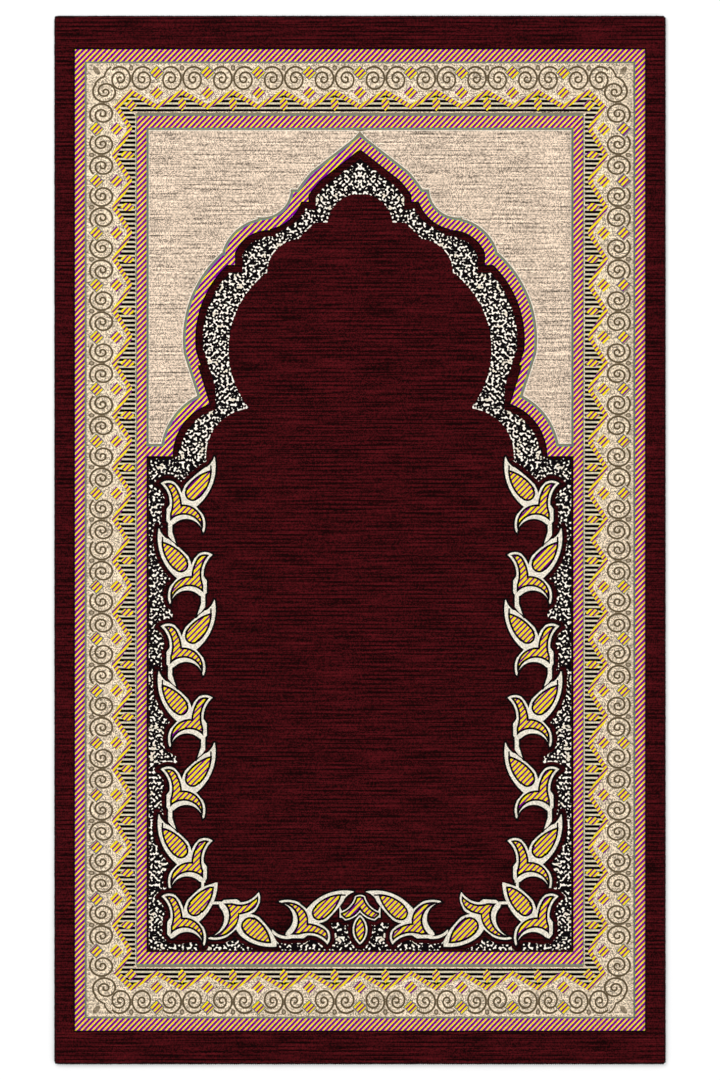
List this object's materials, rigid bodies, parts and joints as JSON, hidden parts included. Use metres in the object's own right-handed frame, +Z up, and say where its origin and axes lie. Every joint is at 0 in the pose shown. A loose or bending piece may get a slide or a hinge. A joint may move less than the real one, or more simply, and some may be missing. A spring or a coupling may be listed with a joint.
{
  "type": "prayer rug",
  "caption": "Flat rectangular cut-pile prayer rug with an arched field, leaf vine, scroll border and plain dark margin.",
  "frame": {"origin": "middle of the rug's underside, on the floor", "axes": "+Y towards the arch point (head end), +X to the right seen from above, +Z up out of the pile"},
  "size_m": [0.7, 1.2, 0.006],
  "materials": {
    "pile": "matt cut pile"
  },
  "bodies": {
    "root": {"rug": "pile"}
  },
  "joints": []
}
